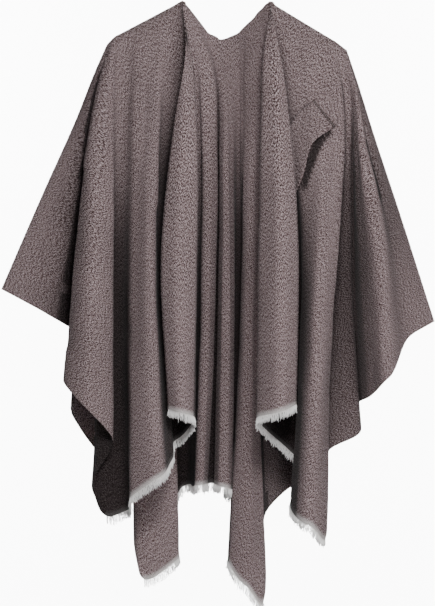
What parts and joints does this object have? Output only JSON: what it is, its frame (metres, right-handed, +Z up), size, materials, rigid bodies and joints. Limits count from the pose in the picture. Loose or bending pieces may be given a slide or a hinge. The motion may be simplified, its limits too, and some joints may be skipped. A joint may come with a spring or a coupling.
{
  "type": "poncho",
  "caption": "Open-front blanket poncho hung from its shoulders, with turned-back front edges, a pull-through loop and fringed hems.",
  "frame": {"origin": "middle of the neck opening at the height of the shoulder line, where the cloth is held up", "axes": "+Z up, +X across the shoulders towards the side with the loop, -Y towards the front opening"},
  "size_m": [0.71, 0.2852, 0.9962],
  "materials": {
    "woven_cloth": "matte, brushed twill",
    "fringe_yarn": "matte, fuzzy"
  },
  "bodies": {
    "root": {"front_left": "woven_cloth", "front_right": "woven_cloth", "back": "woven_cloth", "pull_through_loop": "woven_cloth", "fringe_front_left": "fringe_yarn", "fringe_front_right": "fringe_yarn", "fringe_back": "fringe_yarn"}
  },
  "joints": []
}
